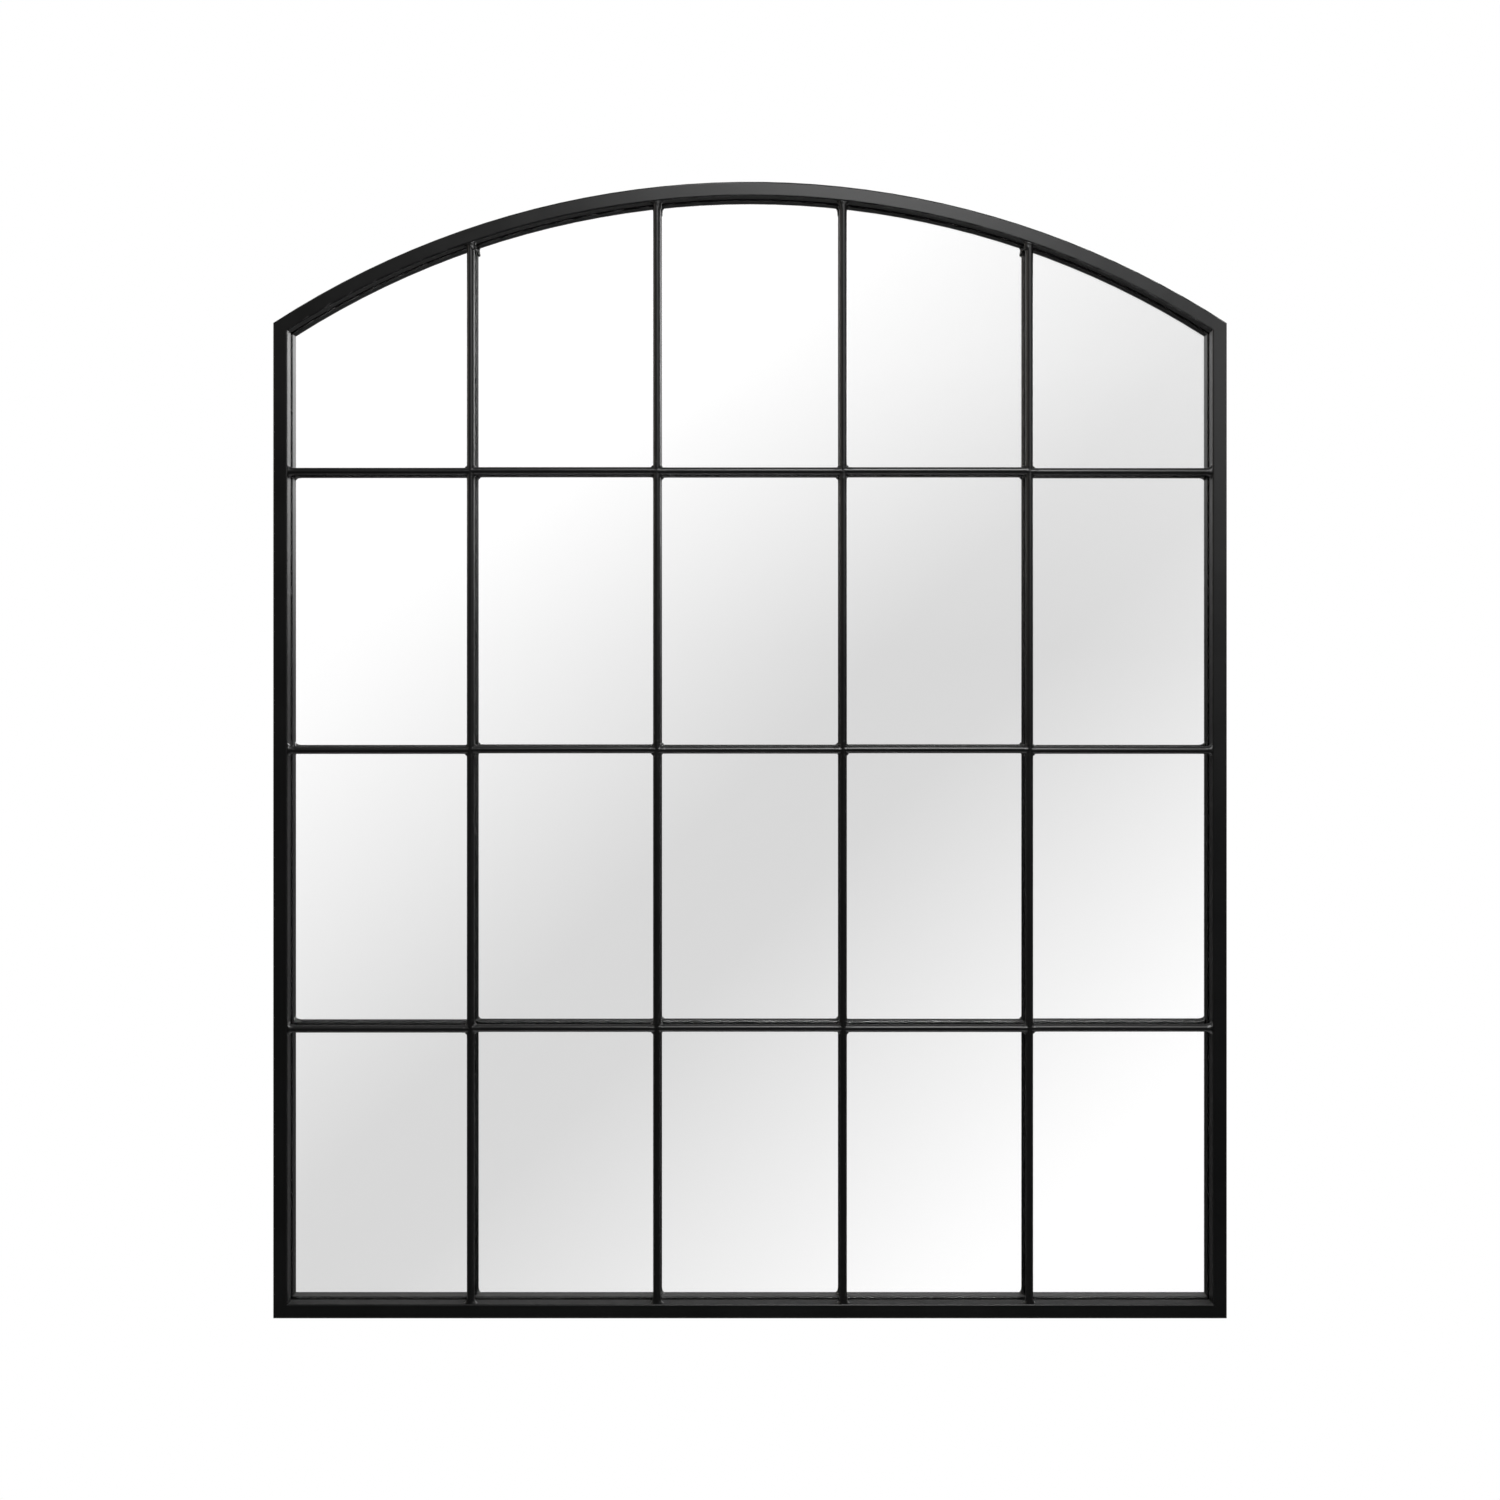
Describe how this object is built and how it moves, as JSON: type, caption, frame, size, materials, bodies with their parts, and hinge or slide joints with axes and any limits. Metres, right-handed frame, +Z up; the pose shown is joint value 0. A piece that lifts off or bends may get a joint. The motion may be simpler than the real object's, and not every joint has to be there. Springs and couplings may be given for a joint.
{
  "type": "arched window mirror",
  "caption": "Wall mirror with an arched top, framed like a steel window: slim square-tube frame and a grid of round glazing bars in front of one arched mirror sheet.",
  "frame": {"origin": "midway between the two hook points, on the wall plane that the four rubber bumpers rest on", "axes": "+Z up, +Y into the wall, so the mirror faces -Y; +X to the right of someone who looks at the mirror"},
  "size_m": [1, 0.0375, 1.1919],
  "materials": {
    "black_steel": "satin black powder coat on welded mild steel",
    "mirror_glass": "silvered float glass with ground edges",
    "mdf": "bare medium-density fibreboard",
    "foam": "black closed-cell foam tape",
    "tape": "white double-sided foam mounting tape",
    "zinc_steel": "bright zinc-plated steel",
    "rubber": "moulded black rubber"
  },
  "bodies": {
    "frame": {"arched_head_rebate_strip": "black_steel", "arched_head_tube": "black_steel", "backing_panel": "mdf", "bottom_rebate_strip": "black_steel", "bottom_tube": "black_steel", "crossing_welds": "black_steel", "frame_welds": "black_steel", "glass_gasket": "foam", "hanger_screws": "zinc_steel", "left_hanger_strap": "zinc_steel", "left_stile_rebate_strip": "black_steel", "left_stile_tube": "black_steel", "lower_left_bumper": "rubber", "lower_right_bumper": "rubber", "mirror_glass": "mirror_glass", "mounting_tape": "tape", "panel_tab_screws": "zinc_steel", "panel_tabs": "black_steel", "right_hanger_strap": "zinc_steel", "right_stile_rebate_strip": "black_steel", "right_stile_tube": "black_steel", "row_1_bar_1": "black_steel", "row_1_bar_2": "black_steel", "row_1_bar_3": "black_steel", "row_1_bar_4": "black_steel", "row_1_bar_5": "black_steel", "row_2_bar_1": "black_steel", "row_2_bar_2": "black_steel", "row_2_bar_3": "black_steel", "row_2_bar_4": "black_steel", "row_2_bar_5": "black_steel", "row_3_bar_1": "black_steel", "row_3_bar_2": "black_steel", "row_3_bar_3": "black_steel", "row_3_bar_4": "black_steel", "row_3_bar_5": "black_steel", "upper_left_bumper": "rubber", "upper_right_bumper": "rubber", "vertical_bar_1": "black_steel", "vertical_bar_2": "black_steel", "vertical_bar_3": "black_steel", "vertical_bar_4": "black_steel"},
    "left_ring": {"left_hanger_ring": "zinc_steel"},
    "right_ring": {"right_hanger_ring": "zinc_steel"}
  },
  "joints": [
    {"name": "left_ring_swing", "type": "hinge", "parent": "frame", "child": "left_ring", "pos_m": [-0.3, -0.0047, -0.015], "axis": [1, 0, 0], "range_deg": [0, 180]},
    {"name": "right_ring_swing", "type": "hinge", "parent": "frame", "child": "right_ring", "pos_m": [0.3, -0.0047, -0.015], "axis": [1, 0, 0], "range_deg": [0, 180]}
  ]
}
